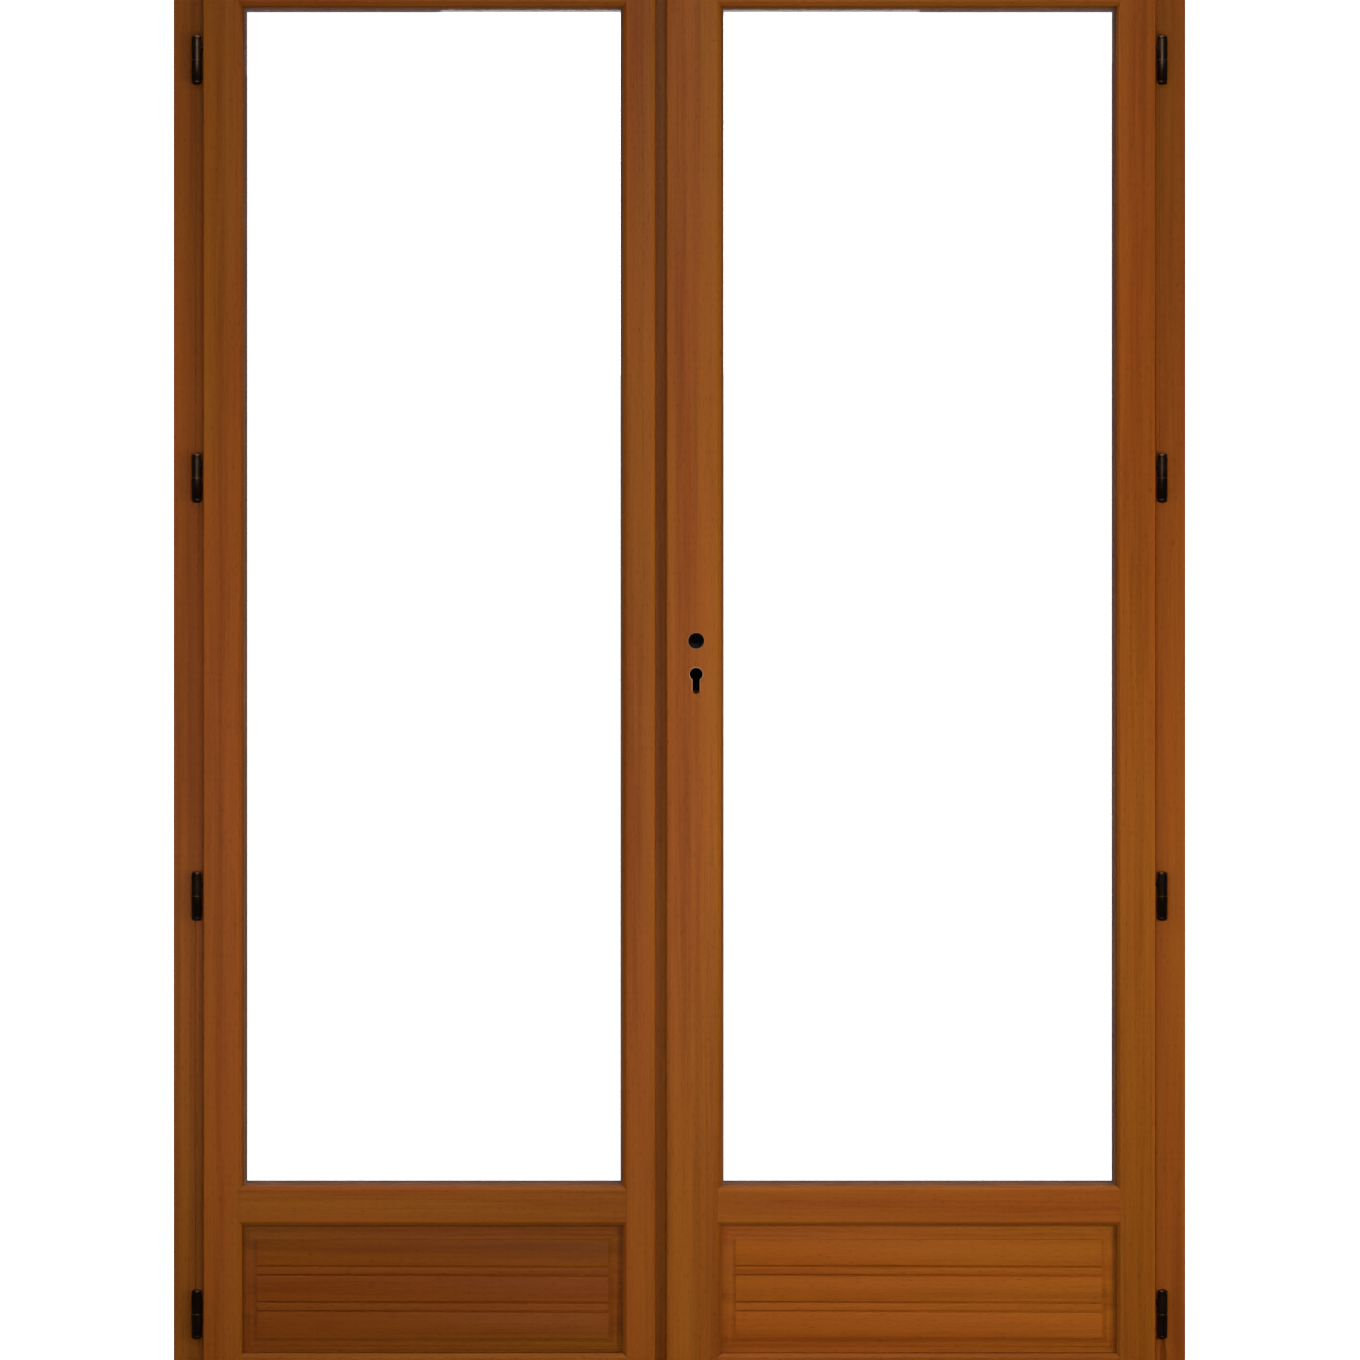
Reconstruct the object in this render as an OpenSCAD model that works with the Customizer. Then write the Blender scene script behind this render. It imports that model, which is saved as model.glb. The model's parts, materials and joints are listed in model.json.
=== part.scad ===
// Inward-opening timber french doors in their own frame.
// Millimetres. X to the right seen from the room, -Y towards the room, +Z up.
// The origin is on the floor, midway between the jambs, in the plane of the lock rods.

/* [Frame] */
// Overall width of the frame
frame_w = 1400; // [1120:10:1700]
// Overall height of the frame
frame_h = 2150; // [1760:10:2600]
// Depth of jambs and head
frame_d = 58; // [54:1:90]
// Width of a jamb or the head up to its rebate
jamb_w = 52; // [44:1:80]
// How far the stop stands past the rebate
stop_w = 14; // [12:1:24]
// Length of the tenons of the head
head_tenon = 30; // [15:1:38]
// Diameter of the wall fixing holes
fixing_d = 8; // [5:0.5:10]
// Height of the lowest and highest fixing hole from the frame's ends
fixing_end = 205; // [100:5:300]

/* [Threshold] */
// Height of the tread under the leaves
tread_h = 20; // [16:1:30]
// Height of the upstand behind the leaves
upstand_h = 44; // [36:1:46]
// How far the sill stands out past the frame
sill_out = 34; // [20:1:60]
// Height of the sill's outer edge
sill_nose = 12; // [10:1:16]
// Wall of the aluminium section
alu_wall = 3; // [2:0.5:4]

/* [Leaves] */
// Thickness of a leaf
leaf_t = 54; // [48:1:66]
// Width of the lip that covers the frame
lip_w = 14; // [12:1:18]
// Thickness of that lip
lip_t = 14; // [12:1:18]
// Gap between a leaf's body and the rebate
leaf_gap = 4; // [3:0.5:6]
// Gap behind the lip
lip_gap = 3; // [2:0.5:4]
// Gap between a leaf and the tread
tread_gap = 6; // [4:0.5:10]
// Width of a hinge stile
hinge_stile_w = 54; // [50:1:90]
// Height of the top rail
top_rail_h = 55; // [50:1:90]
// Height of the middle rail
mid_rail_h = 54.4; // [50:0.2:90]
// Height of the bottom rail
bottom_rail_h = 166; // [120:1:220]
// Height of the panel opening
panel_h = 176.8; // [120:0.4:400]
// Width of the rebate that takes glass and panel
rebate_w = 16; // [14:1:18]
// Thickness of the nib in front of that rebate
nib_t = 15; // [12:1:18]
// Chamfer round glass and panel
chamfer = 5; // [2:0.5:8]
// Radius of the outer arrises
arris_r = 4; // [1:0.5:6]
// Length of the rails' tenons
rail_tenon = 18; // [10:1:22]
// Thickness of the rails' tenons
tenon_t = 16; // [10:1:18]

/* [Meeting stiles] */
// Width of the left meeting stile
passive_stile_w = 68; // [60:1:100]
// Width of the right meeting stile with its lip
active_stile_w = 76; // [72:1:110]
// Lip of the right stile over the left
meet_lip = 16.6; // [14:0.2:20]
// Gap between the two stiles behind the lip
meet_gap = 8; // [7:0.5:10]
// Shadow groove between the lip and the left stile's shoulder
groove_w = 14.4; // [8:0.2:20]
// Right stile's edge behind the lip, left of the centre line
meet_offset = 2; // [0:0.5:6]

/* [Glass] */
// Thickness of a pane
pane_t = 4; // [3:0.5:6]
// Space between the panes
pane_space = 16; // [8:1:16]
// Gap round the glass and the panel in their rebates
bed_gap = 4; // [3:0.5:5]
// Bedding between nib and glass
bed_t = 0.5; // [0.2:0.1:1]
// Height of the spacer bar
spacer_h = 7; // [5:0.5:8]
// Sealant depth outside the spacer bar
spacer_in = 3; // [2:0.5:4]

/* [Panel] */
// Width of the sloped border round the raised field
border_w = 20; // [12:1:40]
// Height of the field over the panel's edge
field_rise = 9; // [6:0.5:12]
// Step at the edge of the field
field_step = 3; // [1.5:0.5:5]
// Thickness of the panel's edge
panel_edge_t = 24; // [18:1:26]
// Distance between the pairs of grooves
groove_pitch = 49.8; // [40:0.2:60]
// Distance between the two grooves of a pair
pair_pitch = 12.4; // [8:0.2:16]
// Depth of a groove
groove_d = 2.6; // [1:0.2:4]

/* [Hinges] */
// Radius of a hinge barrel
barrel_r = 7; // [6:0.5:8]
// Height of a whole hinge
hinge_h = 68; // [50:1:90]
// Radius of a hinge pin
pin_r = 3; // [2:0.5:4]
// Running clearance round the pin
pin_fit = 0.05; // [0.02:0.01:0.1]
// Gap between the lip's edge and the barrel
barrel_gap = 2; // [1:0.5:3]
// How far the barrel stands proud of the leaf
barrel_proud = 2; // [1:0.5:3]
// Radius of the spigots screwed into the timber
spigot_r = 3.5; // [2.5:0.5:4]
// Height of the lowest hinge's middle
hinge_z0 = 246; // [200:1:300]
// Number of hinges on a leaf
HINGES = 4;
// Distance from the top hinge's middle to the frame's top
hinge_top = 172; // [120:1:220]

/* [Lock] */
// Height of the handle's spindle
spindle_z = 1176; // [950:1:1200]
// Distance from the spindle down to the key cylinder
cylinder_drop = 46; // [44:1:50]
// Distance from the stile's edge to the spindle
backset = 25; // [24:1:26]
// Radius of the handle hole in the timber
handle_hole_r = 11; // [9:0.5:12]
// Radius of the key cylinder's round part
cylinder_r = 8.9; // [8.5:0.1:9]
// Width of the key cylinder's foot
cylinder_foot = 10; // [9.6:0.2:10.4]
// Whole height of the key cylinder's hole
cylinder_hole_h = 36; // [33:0.5:38]
// Side of the square spindle hole
spindle_sq = 7; // [6:0.5:8]
// Travel of the rods and bolts
throw = 14; // [10:1:15]
// Teeth of the handle's pinion
TEETH = 12;
// Radius of the rods
rod_r = 4.7; // [3.5:0.1:5]
// Thickness of faceplates and keeps
plate_t = 3; // [2:0.5:4]
// Width of faceplates and keeps
plate_w = 18; // [14:1:20]
// Width of the lock case
case_w = 38; // [37:0.5:38]
// Thickness of the lock case
case_t = 15; // [13:1:16]
// Wall of the lock case
case_wall = 1.5; // [1:0.5:2]
// Length of a flush bolt
flush_l = 200; // [120:5:300]

/* [Weatherboards] */
// Height of a weatherboard
board_h = 42; // [30:1:60]
// How far it stands out
board_out = 30; // [20:1:32]
// Gap between the two weatherboards
board_gap = 14; // [13:1:20]

/* [Fits] */
// Clearance of pieces let into timber or metal
fit = 0.1; // [0.05:0.05:0.2]
// Clearance between a moving piece and its guide
slide_gap = 0.3; // [0.2:0.05:0.5]

/* [Hidden] */
$fn = 48;
LEFT = -1;
RIGHT = 1;

// Depths, from the room outwards. The lock rods' plane is y = 0.
rod_back = 20;
leaf_y1 = rod_back;
leaf_y0 = leaf_y1 - leaf_t;
lip_y = leaf_y0 + lip_t;
frame_y0 = lip_y + lip_gap;
frame_y1 = frame_y0 + frame_d;
seal_gap = 4;
stop_y = leaf_y1 + seal_gap;
nib_y = leaf_y0 + nib_t;
glass_y0 = nib_y + bed_t;
unit_t = 2 * pane_t + pane_space;
bead_y0 = glass_y0 + unit_t + bed_t;
sill_y1 = frame_y1 + sill_out;
bead_y1 = leaf_y1 - 2;
fixing_y = 12;

// Widths
half_w = frame_w / 2;
rebate_x = half_w - jamb_w;
body_x = rebate_x - leaf_gap;
lip_x = body_x + lip_w;
stop_x = rebate_x - stop_w;
act_edge = -meet_offset;
act_lip = act_edge - meet_lip;
pas_edge = act_edge - meet_gap;
shoulder_u = pas_edge - (act_lip - groove_w);
axis_x = lip_x + barrel_gap + barrel_r;
axis_y = leaf_y0 - barrel_proud + barrel_r;
function outer_sight(s) = s * (lip_x - hinge_stile_w);
function meet_sight(s) = s == LEFT ? pas_edge - passive_stile_w : act_lip + active_stile_w;
function x_lo(s) = min(outer_sight(s), meet_sight(s));
function x_hi(s) = max(outer_sight(s), meet_sight(s));

// Heights
head_rebate_z = frame_h - jamb_w;
body_top = head_rebate_z - leaf_gap;
leaf_top = body_top + lip_w;
leaf_bottom = tread_h + tread_gap;
panel_lo = leaf_bottom + bottom_rail_h;
panel_hi = panel_lo + panel_h;
glass_lo = panel_hi + mid_rail_h;
glass_hi = leaf_top - top_rail_h;
hinge_step = (frame_h - hinge_top - hinge_z0) / (HINGES - 1);
function hinge_z(i) = hinge_z0 + (i - 1) * hinge_step;

// Frame and threshold
tenon_lo = 8;
tenon_hi = 10;
counterbore_deep = 6;
upstand_t = 6;
sill_rise = 16;
stop_chamfer = 4;

// Seals
seal_root = 3;
seal_deep = 4;
seal_bulb = 3;
seal_in = 5;
seal_u = 4.5;
stop_seal_u = jamb_w + leaf_gap + seal_in;
strip_end = 1;
strip_lo = 3;
strip_hi = 4;

// Shoulders of the rails' tenons, at the bottom, middle and top rail
bottom_haunch = 20;
mid_haunch = 2;
top_haunch = 4;
top_tenon_end = 6;

// Panel
GROOVE_SLOPE = 0.7;
QUIRKS = [0.36, 0.72];
quirk_w = 1.6;
quirk_d = 0.8;

// Weatherboard
board_lift = 4;
board_edge = 10;
board_end = 4;
drip_in = 8;
drip_r = 2.5;

// Hinge
half_h = hinge_h / 2;
barrel_ease = 0.6;
cap_h = 3;
cap_in = 1.5;
dome_in = 3.5;
dome_h = 1;
ring_lo = 3;
ring_hi = 1.2;
ring_slope = 0.4;
ring_deep = 0.8;
pin_root = 1;
pin_end = 6;
pin_spigot_l = 36;
leaf_spigot_l = 42;

// Plates of the locks
keep_end = 18;
keep_gap = 0.8;
mortise_gap = 1;
mortise_spare = 8;
strike_half = 40;
pocket_gap = 1;
faceplate_end = 40;
flush_plate_over = 10;
flush_slot_over = 4;
thumb_at = 20;
thumb_half_t = 3;
thumb_half_h = 6;
thumb_out = 2;

// Lock
spindle_x = act_edge + backset;
cylinder_z = spindle_z - cylinder_drop;
pitch_r = throw / (PI / 2);
tooth_pitch = 2 * PI * pitch_r / TEETH;
tooth_w = 0.41 * tooth_pitch;
tip_w = 0.44 * tooth_w;
addendum = 0.25 * tooth_pitch;
root_drop = 0.32 * tooth_pitch;
hub_flank = 0.11 * tooth_pitch;
rack_flank = 0.065 * tooth_pitch;
boss_r = 0.785 * pitch_r;
rack_line = pitch_r + addendum + slide_gap;
rod_x = act_edge + plate_t + slide_gap + rod_r;
flush_x = pas_edge - plate_t - slide_gap - rod_r;
rod_slot = 2 * (rod_r + slide_gap);
rod_inset = 1;
keep_hole = 2 * (rod_r + keep_gap);
mortise_t = keep_hole + 2 * mortise_gap;
case_x = act_edge + plate_t;
case_below = 52;
case_above = 24;
case_lo = cylinder_z - case_below;
case_hi = spindle_z + case_above + throw;
tooth_sink = 1;
rack_t = 4;
rack_y = 5;
rack_half = 17;
arm_z = 14;
arm_h = 5;
arm_gap = 1;
RACK_TEETH = 3;
bolt_h = 18;
bolt_t = 8;
bolt_l = 15;
timber = [0.52, 0.28, 0.10];
timber_light = [0.58, 0.32, 0.12];
bronze = [0.30, 0.22, 0.15];
steel = [0.62, 0.63, 0.65];
alu = [0.70, 0.69, 0.66];
rubber = [0.13, 0.11, 0.10];

// Extrudes an outline in (depth, height) along X from x0 to x1
module along_x(x0, x1) {
    translate([x0, 0, 0]) rotate([90, 0, 90]) linear_extrude(x1 - x0) children();
}

// Extrudes an outline in (width, depth) upwards from z0 to z1
module up_z(z0, z1) {
    translate([0, 0, z0]) linear_extrude(z1 - z0) children();
}

// Swaps an outline's width for height, so a stile's section serves for a rail
module as_rail() {
    mirror([1, -1, 0]) children();
}

// The waste outside a quarter circle at a corner; dx, dy point into the timber
module arris_cut(x, y, dx, dy, r) {
    translate([x, y]) scale([dx, dy]) difference() {
        translate([-1, -1]) square(r + 1);
        translate([r, r]) circle(r);
    }
}

// The waste outside a 45 degree chamfer at a corner
module chamfer_cut(x, y, dx, dy, c) {
    translate([x, y]) scale([dx, dy]) polygon([[-1, -1], [c + 1, -1], [-1, c + 1]]);
}

module block(x0, x1, y0, y1, z0, z1) {
    translate([x0, y0, z0]) cube([x1 - x0, y1 - y0, z1 - z0]);
}

// ---- sections of the timber; u runs from the outer edge to the sight line ----

// Stile or rail with a lip of width lip on its outer edge and a nib on its inner edge
module member_section(w, lip) {
    difference() {
        polygon([[0, leaf_y0], [w, leaf_y0], [w, nib_y], [w - rebate_w, nib_y],
            [w - rebate_w, leaf_y1], [lip, leaf_y1], [lip, lip_y], [0, lip_y]]);
        chamfer_cut(w, leaf_y0, -1, 1, chamfer);
        arris_cut(0, leaf_y0, 1, 1, arris_r);
    }
}

// Left meeting stile: stepped back where the right leaf's lip lies over it
module passive_section() {
    w = passive_stile_w;
    difference() {
        polygon([[0, frame_y0], [shoulder_u, frame_y0], [shoulder_u, leaf_y0], [w, leaf_y0], [w, nib_y],
            [w - rebate_w, nib_y], [w - rebate_w, leaf_y1], [0, leaf_y1]]);
        chamfer_cut(w, leaf_y0, -1, 1, chamfer);
        arris_cut(shoulder_u, leaf_y0, 1, 1, arris_r);
        translate([seal_u - seal_root / 2, frame_y0 - 1]) square([seal_root, seal_deep + 1]);
    }
}

// Middle rail: a nib on both edges
module mid_section() {
    w = mid_rail_h;
    difference() {
        polygon([[0, leaf_y0], [w, leaf_y0], [w, nib_y], [w - rebate_w, nib_y], [w - rebate_w, leaf_y1],
            [rebate_w, leaf_y1], [rebate_w, nib_y], [0, nib_y]]);
        chamfer_cut(w, leaf_y0, -1, 1, chamfer);
        chamfer_cut(0, leaf_y0, 1, 1, chamfer);
    }
}

// Bottom rail: square below, a nib above
module bottom_section() {
    w = bottom_rail_h;
    difference() {
        polygon([[0, leaf_y0], [w, leaf_y0], [w, nib_y], [w - rebate_w, nib_y], [w - rebate_w, leaf_y1],
            [0, leaf_y1]]);
        chamfer_cut(w, leaf_y0, -1, 1, chamfer);
    }
}

// Outline of a jamb or the head, before its chamfer and seal groove are cut
module jamb_outline() {
    w = jamb_w;
    polygon([[0, frame_y0], [w, frame_y0], [w, stop_y], [w + stop_w, stop_y], [w + stop_w, frame_y1],
        [0, frame_y1]]);
}

// Jamb or head: rebate for the leaf on the room side, stop outside
module jamb_section() {
    difference() {
        jamb_outline();
        chamfer_cut(jamb_w + stop_w, frame_y1, -1, -1, stop_chamfer);
        translate([stop_seal_u - seal_root / 2, stop_y - 1]) square([seal_root, seal_deep + 1]);
    }
}

// ---- seals: a root in a groove and a rounded bulb ----

// A root in the groove at u and a bulb that stands h out of the face at depth y0
module seal_section(u, y0, h) {
    bulb = min(seal_bulb, h);
    root = seal_root - fit;
    translate([u - root / 2, y0 - h / 2]) square([root, seal_deep + h / 2 - fit]);
    intersection() {
        translate([u, y0 - h + bulb]) circle(bulb);
        translate([u - bulb, y0 - h - 1]) square([2 * bulb, h + 1]);
    }
}

// ---- frame ----
module jamb_bar(s) {
    scale([s, 1, 1]) translate([half_w, 0, 0]) mirror([1, 0, 0]) up_z(0, frame_h) children();
}

module head_tenons(grow) {
    for (s = [LEFT, RIGHT])
        scale([s, 1, 1]) block(rebate_x - 1, rebate_x + head_tenon + grow, -tenon_t / 2 - grow,
            tenon_t / 2 + grow, head_rebate_z + tenon_lo - grow, frame_h - tenon_hi + grow);
}

module fixing_holes(s) {
    inner = (frame_h - 2 * fixing_end) / 3;
    for (z = [fixing_end, fixing_end + inner, frame_h - fixing_end - inner, frame_h - fixing_end]) {
        translate([s * half_w, fixing_y, z]) rotate([0, -90 * s, 0]) cylinder(d = fixing_d, h = jamb_w + 1);
        translate([s * (rebate_x + counterbore_deep), fixing_y, z]) rotate([0, -90 * s, 0])
            cylinder(d = 2 * fixing_d, h = counterbore_deep + 1);
    }
}

module jamb(s) {
    color(timber) difference() {
        jamb_bar(s) jamb_section();
        head_tenons(fit);
        scale([s, 1, 1]) for (i = [1 : HINGES]) pin_spigot(i, fit);
        fixing_holes(s);
    }
}

module head() {
    color(timber) difference() {
        union() {
            difference() {
                translate([0, 0, frame_h]) mirror([0, 0, 1]) along_x(-rebate_x, rebate_x)
                    as_rail() jamb_section();
                jamb_bar(LEFT) jamb_outline();
                jamb_bar(RIGHT) jamb_outline();
            }
            head_tenons(0);
        }
        keep_block(head_rebate_z - 1, head_rebate_z + plate_t, fit);
        block(flush_x - mortise_t / 2, rod_x + mortise_t / 2, -mortise_t / 2, mortise_t / 2, head_rebate_z,
            head_rebate_z + plate_t + throw + mortise_spare);
    }
}

// Hollow aluminium section: tread, upstand and sloped sill
module threshold_section() {
    w = alu_wall;
    rise_z = sill_nose + sill_rise;
    difference() {
        polygon([[frame_y0, 0], [sill_y1, 0], [sill_y1, sill_nose], [stop_y + upstand_t, rise_z],
            [stop_y + upstand_t, upstand_h], [stop_y, upstand_h], [stop_y, tread_h], [frame_y0, tread_h]]);
        polygon([[frame_y0 + w, w], [stop_y - w, w], [stop_y - w, tread_h - w], [frame_y0 + w, tread_h - w]]);
        polygon([[stop_y, w], [sill_y1 - w, w], [sill_y1 - w, sill_nose - w],
            [stop_y + upstand_t, rise_z - w], [stop_y, rise_z - w]]);
    }
}

module threshold() {
    color(alu) difference() {
        along_x(-half_w, half_w) threshold_section();
        jamb_bar(LEFT) jamb_outline();
        jamb_bar(RIGHT) jamb_outline();
        keep_block(tread_h - alu_wall - 1, tread_h + 1, fit);
    }
}

// Outline of the keep that takes the rods of both leaves
module keep_block(z0, z1, grow) {
    block(flush_x - keep_end - grow, rod_x + keep_end + grow, -plate_w / 2 - grow, plate_w / 2 + grow,
        z0, z1);
}

module keep(z0, z1) {
    color(steel) difference() {
        keep_block(z0, z1, 0);
        for (x = [rod_x, flush_x])
            block(x - keep_hole / 2, x + keep_hole / 2, -keep_hole / 2, keep_hole / 2, z0 - 1, z1 + 1);
    }
}

module jamb_seal(s) {
    color(rubber) scale([s, 1, 1]) translate([half_w, 0, 0]) mirror([1, 0, 0])
        up_z(upstand_h, head_rebate_z - stop_w / 2 - seal_in)
            seal_section(stop_seal_u, stop_y, seal_gap - slide_gap);
}

module head_seal() {
    end = stop_x - slide_gap;
    color(rubber) translate([0, 0, frame_h]) mirror([0, 0, 1]) along_x(-end, end) as_rail()
        seal_section(stop_seal_u, stop_y, seal_gap - slide_gap);
}

// A flat strip of seal stuck to the upstand
module threshold_seal() {
    color(rubber) block(-stop_x + strip_end, stop_x - strip_end, leaf_y1 + slide_gap, stop_y,
        leaf_bottom + strip_lo, upstand_h - strip_hi);
}

// ---- leaf timber ----
module hinge_stile_bar(s) {
    scale([s, 1, 1]) translate([lip_x, 0, 0]) mirror([1, 0, 0])
        up_z(leaf_bottom, leaf_top) member_section(hinge_stile_w, lip_w);
}

module passive_stile_bar() {
    translate([pas_edge, 0, 0]) mirror([1, 0, 0]) up_z(leaf_bottom, leaf_top) passive_section();
}

module active_stile_bar() {
    translate([act_lip, 0, 0]) up_z(leaf_bottom, leaf_top) member_section(active_stile_w, meet_lip);
}

module meeting_stile_bar(s) {
    if (s == LEFT) passive_stile_bar();
    if (s == RIGHT) active_stile_bar();
}

// Cuts the stiles' tops back behind the lip, rounds the top arris
module top_trim() {
    block(-half_w, half_w, lip_y, leaf_y1 + 1, body_top, leaf_top + 1);
    along_x(-half_w, half_w) arris_cut(leaf_y0, leaf_top, 1, -1, arris_r);
}

// Rails' tenons: [low, high] heights of each
function tenon_spans() = [[leaf_bottom + bottom_haunch, panel_lo - rebate_w - bottom_haunch],
    [panel_hi + rebate_w + mid_haunch, glass_lo - rebate_w - mid_haunch],
    [glass_hi + rebate_w + top_haunch, body_top - top_tenon_end]];

module rail_tenons(s, i, grow) {
    z = tenon_spans()[i];
    block(x_lo(s) - rebate_w - rail_tenon - grow, x_lo(s) - rebate_w + 1, -tenon_t / 2 - grow,
        tenon_t / 2 + grow, z[0] - grow, z[1] + grow);
    block(x_hi(s) + rebate_w - 1, x_hi(s) + rebate_w + rail_tenon + grow, -tenon_t / 2 - grow,
        tenon_t / 2 + grow, z[0] - grow, z[1] + grow);
}

module hinge_stile(s) {
    color(timber) difference() {
        hinge_stile_bar(s);
        top_trim();
        for (i = [0 : 2]) rail_tenons(s, i, fit);
        scale([s, 1, 1]) for (i = [1 : HINGES]) leaf_spigot(i, fit);
    }
}

module left_meeting_stile() {
    color(timber) difference() {
        passive_stile_bar();
        top_trim();
        for (i = [0 : 2]) rail_tenons(LEFT, i, fit);
        for (top = [true, false]) flush_plate_block(top, fit);
        for (top = [true, false]) flush_slot(top);
        strike_block(fit);
        block(pas_edge - plate_t - throw, pas_edge, -bolt_t / 2 - pocket_gap, bolt_t / 2 + pocket_gap,
            cylinder_z - bolt_h / 2 - pocket_gap, cylinder_z + bolt_h / 2 + pocket_gap);
    }
}

module right_meeting_stile() {
    color(timber_light) difference() {
        active_stile_bar();
        top_trim();
        for (i = [0 : 2]) rail_tenons(RIGHT, i, fit);
        faceplate_block(fit);
        block(act_edge, act_edge + plate_t + rod_slot, -rod_slot / 2, rod_slot / 2,
            leaf_bottom - 1, leaf_top);
        block(case_x - 1, case_x + case_w + fit, -case_t / 2 - fit, case_t / 2 + fit,
            case_lo - fit, case_hi + fit);
        translate([spindle_x, 0, spindle_z]) rotate([90, 0, 0]) cylinder(r = handle_hole_r, h = leaf_t);
        translate([spindle_x, -leaf_t, cylinder_z]) cylinder_profile(leaf_t, 0);
    }
}

// Outline of the key cylinder: a circle over a foot with a rounded end, drilled along Y
module cylinder_profile(l, grow) {
    foot_z = cylinder_hole_h - cylinder_r - cylinder_foot / 2;
    rotate([-90, 0, 0]) cylinder(r = cylinder_r + grow, h = l);
    translate([0, 0, -foot_z]) rotate([-90, 0, 0]) cylinder(r = cylinder_foot / 2 + grow, h = l);
    block(-cylinder_foot / 2 - grow, cylinder_foot / 2 + grow, 0, l, -foot_z, 0);
}

module rail(s, i) {
    z = [leaf_bottom, panel_hi, leaf_top][i];
    color(s == LEFT ? timber : timber_light) union() {
        difference() {
            translate([0, 0, z]) scale([1, 1, i == 2 ? -1 : 1])
                along_x(x_lo(s) - rebate_w, x_hi(s) + rebate_w) as_rail() rail_section(i);
            hinge_stile_bar(s);
            meeting_stile_bar(s);
        }
        rail_tenons(s, i, 0);
    }
}

module rail_section(i) {
    if (i == 0) bottom_section();
    if (i == 1) mid_section();
    if (i == 2) member_section(top_rail_h, lip_w);
}

// ---- panel: a sloped border with two fine quirks, a small step and a field with paired grooves ----
// Section across the panel from its edge (u = 0) over width w; y grows outwards
module panel_outline(w) {
    edge = rebate_w - bed_gap;
    face = glass_y0;
    slope = field_rise - field_step;
    half = concat([[0, face + panel_edge_t], [0, face], [edge, face]],
        [for (q = QUIRKS, k = [-1, 0, 1]) [edge + q * border_w + k * quirk_w / 2,
            face - slope * (q + k * quirk_w / 2 / border_w) + (k == 0 ? quirk_d : 0)]],
        [[edge + border_w, face - slope], [edge + border_w, face - field_rise]]);
    polygon(concat(half, [for (k = [len(half) - 1 : -1 : 0]) [w - half[k].x, half[k].y]]));
}

module panel(s) {
    edge = rebate_w - bed_gap;
    w = x_hi(s) - x_lo(s) + 2 * edge;
    h = panel_h + 2 * edge;
    mid_z = panel_lo + panel_h / 2;
    color(s == LEFT ? timber : timber_light) difference() {
        intersection() {
            translate([x_lo(s) - edge, 0, 0]) up_z(panel_lo - edge, panel_hi + edge) panel_outline(w);
            translate([0, 0, panel_lo - edge]) along_x(x_lo(s) - edge, x_hi(s) + edge)
                as_rail() panel_outline(h);
        }
        for (a = [-1, 1], b = [-1, 1]) panel_groove(s, mid_z + a * groove_pitch / 2 + b * pair_pitch / 2);
    }
}

// A rounded V groove along X in the panel's field
module panel_groove(s, z) {
    face = glass_y0 - field_rise;
    half = GROOVE_SLOPE * (groove_d + 1);
    along_x(x_lo(s) + border_w, x_hi(s) - border_w) polygon([[face - 1, z - half], [face + groove_d, z],
        [face - 1, z + half]]);
}

// ---- glass ----
module pane(s, y0) {
    edge = rebate_w - bed_gap;
    color([0.75, 0.85, 0.85, 0.3]) block(x_lo(s) - edge, x_hi(s) + edge, y0, y0 + pane_t, glass_lo - edge,
        glass_hi + edge);
}

module pane_spacer(s) {
    a = rebate_w - bed_gap - spacer_in;
    b = a - spacer_h;
    y0 = glass_y0 + pane_t;
    color(alu) difference() {
        block(x_lo(s) - a, x_hi(s) + a, y0, y0 + pane_space, glass_lo - a, glass_hi + a);
        block(x_lo(s) - b, x_hi(s) + b, y0 - 1, y0 + pane_space + 1, glass_lo - b, glass_hi + b);
    }
}

// Four mitred beads round an opening, a hair apart at the mitres
module bead_ring(s, z0, z1) {
    x0 = x_lo(s) - rebate_w;
    x1 = x_hi(s) + rebate_w;
    b0 = z0 - rebate_w;
    b1 = z1 + rebate_w;
    w = rebate_w;
    up = [[x0, b0 + fit], [x0 + w, b0 + w + fit], [x0 + w, b1 - w - fit], [x0, b1 - fit]];
    low = [[x0, b0], [x1, b0], [x1 - w, b0 + w], [x0 + w, b0 + w]];
    bead_strip(up);
    translate([x0 + x1, 0, 0]) mirror([1, 0, 0]) bead_strip(up);
    bead_strip(low);
    translate([0, 0, b0 + b1]) mirror([0, 0, 1]) bead_strip(low);
}

module bead_strip(outline) {
    translate([0, bead_y1, 0]) rotate([90, 0, 0]) linear_extrude(bead_y1 - bead_y0) polygon(outline);
}

module beads(s) {
    color(timber) union() {
        bead_ring(s, glass_lo, glass_hi);
        bead_ring(s, panel_lo, panel_hi);
    }
}

// ---- weatherboard: a rounded top, a sloped face and a drip groove ----
module weatherboard_section() {
    z0 = upstand_h + board_lift;
    round_h = board_h - board_edge;
    difference() {
        union() {
            translate([leaf_y1, z0]) square([board_out, board_edge]);
            intersection() {
                translate([leaf_y1, z0 + board_edge]) scale([board_out / round_h, 1]) circle(round_h);
                translate([leaf_y1, z0]) square([board_out, board_h]);
            }
        }
        translate([leaf_y1 + board_out - drip_in, z0]) circle(drip_r);
    }
}

module weatherboard(s) {
    mid = (act_edge + pas_edge) / 2;
    x0 = s == LEFT ? -stop_x + board_end : mid + board_gap / 2;
    x1 = s == LEFT ? mid - board_gap / 2 : stop_x - board_end;
    color(timber) along_x(x0, x1) weatherboard_section();
}

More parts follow.
